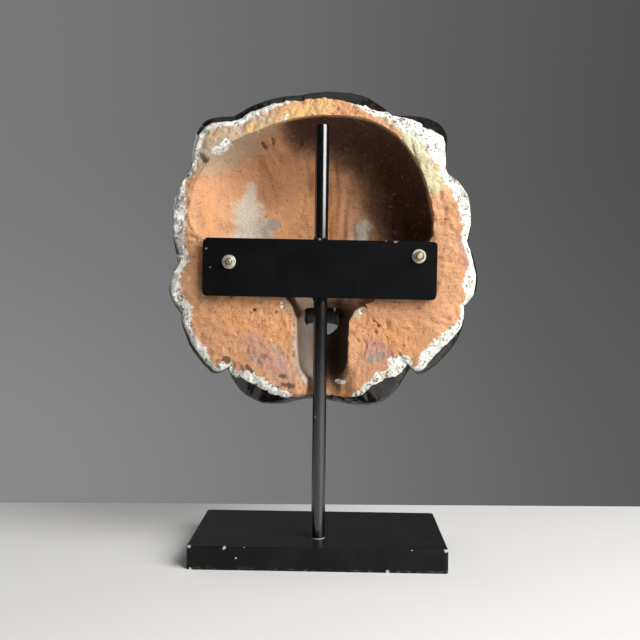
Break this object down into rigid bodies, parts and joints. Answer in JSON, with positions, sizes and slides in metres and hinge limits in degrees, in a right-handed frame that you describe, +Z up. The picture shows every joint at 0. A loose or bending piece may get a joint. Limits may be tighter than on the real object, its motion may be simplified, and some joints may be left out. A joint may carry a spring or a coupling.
{
  "type": "lion fountain mask on stand",
  "caption": "Hollow glazed terracotta lion mask of a wall fountain, with an open spout mouth and a pipe channel in its back, bolted to a flat bar on a rod and base.",
  "frame": {"origin": "centre of the base board's underside", "axes": "+Z up; the lion looks along -Y and the mask's hollow back, the rod and the fixings face +Y; +X is on the right seen from the lion's front"},
  "size_m": [0.2725, 0.1403, 0.4134],
  "materials": {
    "glazed_terracotta": "matt bare terracotta behind with chalk and stains, gloss black glaze in front",
    "black_lacquer": "satin black lacquer, chipped at the edges",
    "black_paint": "satin black paint",
    "steel": "dull steel",
    "zinc": "yellowed zinc plate"
  },
  "bodies": {
    "root": {"mask": "glazed_terracotta", "base": "black_lacquer", "rod": "black_paint", "cross_plate": "black_paint", "washer_left": "steel", "washer_right": "steel", "nut_left": "zinc", "nut_right": "zinc", "stud_left": "steel", "stud_right": "steel"}
  },
  "joints": []
}
